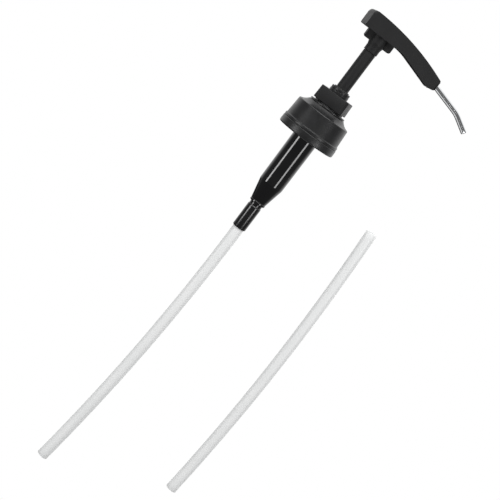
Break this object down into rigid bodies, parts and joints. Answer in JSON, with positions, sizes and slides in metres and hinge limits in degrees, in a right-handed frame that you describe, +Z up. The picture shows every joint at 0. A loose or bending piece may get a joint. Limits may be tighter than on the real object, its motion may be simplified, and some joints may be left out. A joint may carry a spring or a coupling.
{
  "type": "fluid transfer pump",
  "caption": "Hand plunger pump that screws onto a wide-mouth container: swivel handle with a bent steel spout, cap, barrel and long dip tube, with a spare tube.",
  "frame": {"origin": "on the pump's axis, in the plane of the gasket's lower face, where the container's rim seats", "axes": "+Z up the stem towards the handle, +X along the handle towards the spout with the handle at rest"},
  "size_m": [0.1721, 0.068, 0.6069],
  "materials": {
    "satin_black_plastic": "satin moulded polypropylene",
    "gloss_black_plastic": "glossy moulded polypropylene",
    "white_plastic": "natural polyethylene",
    "black_rubber": "matte nitrile rubber",
    "polished_steel": "polished stainless steel",
    "spring_steel": "drawn stainless wire",
    "translucent_tube": "milky translucent polyethylene"
  },
  "bodies": {
    "pump_body": {"pump_barrel": "gloss_black_plastic", "foot_valve_body": "gloss_black_plastic", "foot_valve_o_ring": "black_rubber", "ball_cage": "white_plastic", "collar_nut": "satin_black_plastic", "thrust_ring": "satin_black_plastic", "guide_bush": "satin_black_plastic", "stem_wiper": "black_rubber", "neck_gasket": "white_plastic", "return_spring": "spring_steel", "dip_tube": "translucent_tube"},
    "cap": {"closure_cap": "satin_black_plastic", "grip_band": "satin_black_plastic"},
    "plunger": {"piston": "white_plastic", "upper_cup_seal": "black_rubber", "lower_cup_seal": "black_rubber"},
    "head": {"stem": "gloss_black_plastic", "ball_stop_pin": "polished_steel", "discharge_seat": "white_plastic", "handle_shell": "satin_black_plastic", "spout_tube": "polished_steel", "spout_o_ring": "black_rubber"},
    "outlet_ball": {"outlet_ball": "polished_steel"},
    "inlet_ball": {"inlet_ball": "polished_steel"},
    "extension_tube": {"extension_tube": "translucent_tube"}
  },
  "joints": [
    {"name": "cap_turn", "type": "hinge", "parent": "pump_body", "child": "cap", "pos_m": [0, 0, 0], "axis": [0, 0, 1], "continuous": true},
    {"name": "plunger_slide", "type": "slide", "parent": "pump_body", "child": "plunger", "axis": [0, 0, -1], "range_m": [0, 0.0465], "stiffness_N_per_m": 360, "springref_m": -0.0194, "deforming": ["return_spring"]},
    {"name": "head_swivel", "type": "hinge", "parent": "plunger", "child": "head", "pos_m": [0, 0, 0.0851], "axis": [0, 0, 1], "continuous": true},
    {"name": "outlet_ball_lift", "type": "slide", "parent": "head", "child": "outlet_ball", "axis": [0, 0, 1], "range_m": [0, 0.002]},
    {"name": "inlet_ball_lift", "type": "slide", "parent": "pump_body", "child": "inlet_ball", "axis": [0, 0, 1], "range_m": [0, 0.0022]},
    {"name": "extension_tube_removal", "type": "slide", "parent": "pump_body", "child": "extension_tube", "axis": [1, 0, 0], "range_m": [0, 0.1]}
  ]
}
